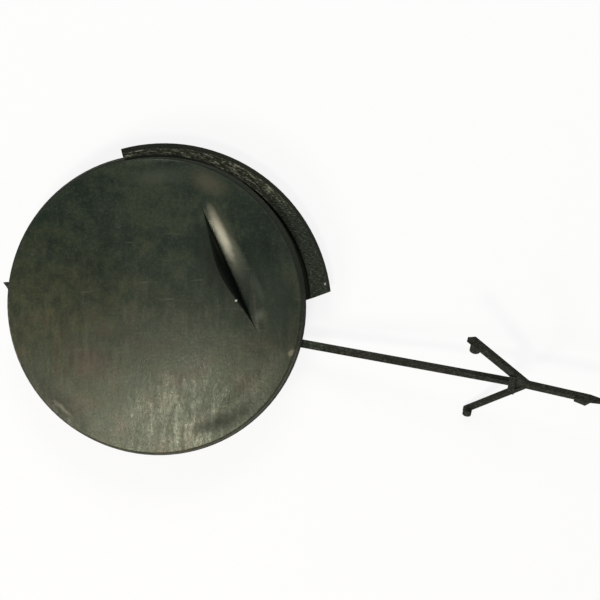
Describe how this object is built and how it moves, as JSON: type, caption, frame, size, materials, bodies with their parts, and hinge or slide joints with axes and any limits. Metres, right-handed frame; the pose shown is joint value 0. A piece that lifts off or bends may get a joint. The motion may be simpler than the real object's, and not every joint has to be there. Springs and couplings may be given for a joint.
{
  "type": "bumper tow hook cover",
  "caption": "Round domed snap-in cover for a bumper's towing eye opening, with a thumb recess, a hooking lip and a moulded tether that ends in a barbed anchor.",
  "frame": {"origin": "on the axis of the round cover, in the plane of the skirt's rear rim, which it lies on", "axes": "+Z out of the face, +X to the side on which the tether leaves, +Y up in the picture"},
  "size_m": [0.1348, 0.0706, 0.0197],
  "materials": {
    "cover_plastic": "satin, unpainted, lightly handled"
  },
  "bodies": {
    "root": {"tow_hook_cover": "cover_plastic"}
  },
  "joints": []
}
